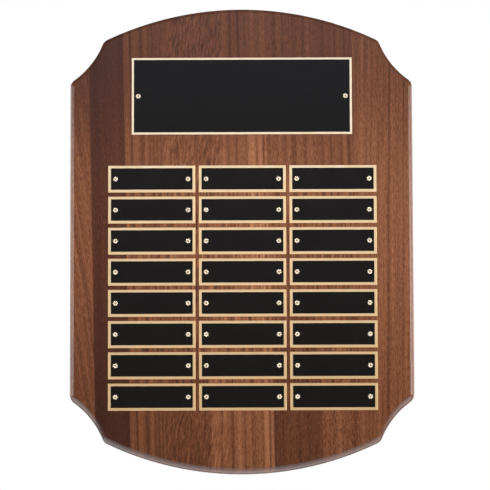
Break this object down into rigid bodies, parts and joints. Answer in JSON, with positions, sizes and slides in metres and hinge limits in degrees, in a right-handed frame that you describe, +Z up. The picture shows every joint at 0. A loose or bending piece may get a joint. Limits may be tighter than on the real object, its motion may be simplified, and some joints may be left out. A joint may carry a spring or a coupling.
{
  "type": "wooden award plaque",
  "caption": "Arched walnut award plaque with scooped corners and a rounded edge, a header plate and a grid of black brass nameplates pinned by rosette tacks, and a keyhole slot behind.",
  "frame": {"origin": "middle of the back face, at half the width and half the height", "axes": "+Y out of the back, towards the wall; the plates face -Y; +Z up; +X to the right as the plaque is read"},
  "size_m": [0.2794, 0.0204, 0.381],
  "materials": {
    "walnut_brown": "satin lacquered walnut, vertical grain",
    "walnut_dark": "satin lacquered dark walnut, vertical grain",
    "walnut_bright": "satin lacquered light walnut with stripes, vertical grain",
    "brass_plate": "satin lacquered brass sheet",
    "black_field": "satin black enamel on brass",
    "brass_tack": "bright polished brass"
  },
  "bodies": {
    "root": {"stave_1": "walnut_brown", "stave_2": "walnut_dark", "stave_3": "walnut_brown", "stave_4": "walnut_bright", "stave_5": "walnut_dark", "stave_6": "walnut_brown", "stave_7": "walnut_brown", "header_plate": "brass_plate", "header_panel": "black_field", "header_tacks": "brass_tack", "nameplate_r1_c1": "brass_plate", "nameplate_r1_c2": "brass_plate", "nameplate_r1_c3": "brass_plate", "nameplate_r2_c1": "brass_plate", "nameplate_r2_c2": "brass_plate", "nameplate_r2_c3": "brass_plate", "nameplate_r3_c1": "brass_plate", "nameplate_r3_c2": "brass_plate", "nameplate_r3_c3": "brass_plate", "nameplate_r4_c1": "brass_plate", "nameplate_r4_c2": "brass_plate", "nameplate_r4_c3": "brass_plate", "nameplate_r5_c1": "brass_plate", "nameplate_r5_c2": "brass_plate", "nameplate_r5_c3": "brass_plate", "nameplate_r6_c1": "brass_plate", "nameplate_r6_c2": "brass_plate", "nameplate_r6_c3": "brass_plate", "nameplate_r7_c1": "brass_plate", "nameplate_r7_c2": "brass_plate", "nameplate_r7_c3": "brass_plate", "nameplate_r8_c1": "brass_plate", "nameplate_r8_c2": "brass_plate", "nameplate_r8_c3": "brass_plate", "name_panels_row_1": "black_field", "name_panels_row_2": "black_field", "name_panels_row_3": "black_field", "name_panels_row_4": "black_field", "name_panels_row_5": "black_field", "name_panels_row_6": "black_field", "name_panels_row_7": "black_field", "name_panels_row_8": "black_field", "tacks_row_1": "brass_tack", "tacks_row_2": "brass_tack", "tacks_row_3": "brass_tack", "tacks_row_4": "brass_tack", "tacks_row_5": "brass_tack", "tacks_row_6": "brass_tack", "tacks_row_7": "brass_tack", "tacks_row_8": "brass_tack"}
  },
  "joints": []
}
